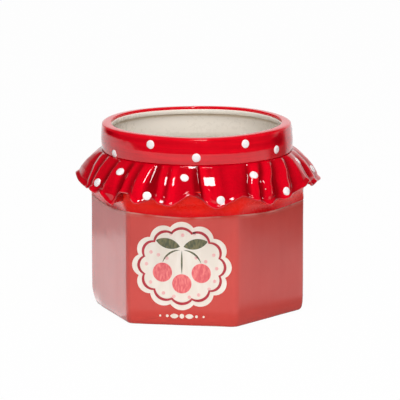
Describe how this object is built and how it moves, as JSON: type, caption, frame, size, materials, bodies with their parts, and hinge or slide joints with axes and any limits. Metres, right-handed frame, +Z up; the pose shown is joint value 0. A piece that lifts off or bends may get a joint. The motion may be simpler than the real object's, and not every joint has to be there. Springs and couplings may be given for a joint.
{
  "type": "ceramic cachepot",
  "caption": "Hexagonal jar-shaped cachepot of glazed earthenware, with a gathered frill and a round band at its mouth, that covers a plant's nursery pot.",
  "frame": {"origin": "centre of the foot, on the surface that the pot stands on", "axes": "+Z up along the mouth's axis, the labelled flat faces -Y, corners of the hexagon on the X axis"},
  "size_m": [0.154, 0.1547, 0.1202],
  "materials": {
    "rose_glaze": "glossy rose glaze",
    "red_glaze": "glossy red glaze",
    "cream_glaze": "satin cream glaze",
    "white_enamel": "glossy white enamel",
    "label_cream": "fired transfer, satin",
    "label_red": "fired transfer, satin",
    "berry_pink": "fired transfer, satin",
    "leaf_green": "fired transfer, satin",
    "spot_pink": "fired transfer, satin"
  },
  "bodies": {
    "root": {"jar_body": "rose_glaze", "shoulder": "red_glaze", "frill": "red_glaze", "rim_band": "red_glaze", "inner_glaze": "cream_glaze", "band_dots": "white_enamel", "frill_dots": "white_enamel", "label_transfer": "label_cream", "label_border": "label_red", "label_berries": "berry_pink", "label_leaves": "leaf_green", "label_spots": "spot_pink", "caption_ornament": "label_cream"}
  },
  "joints": []
}
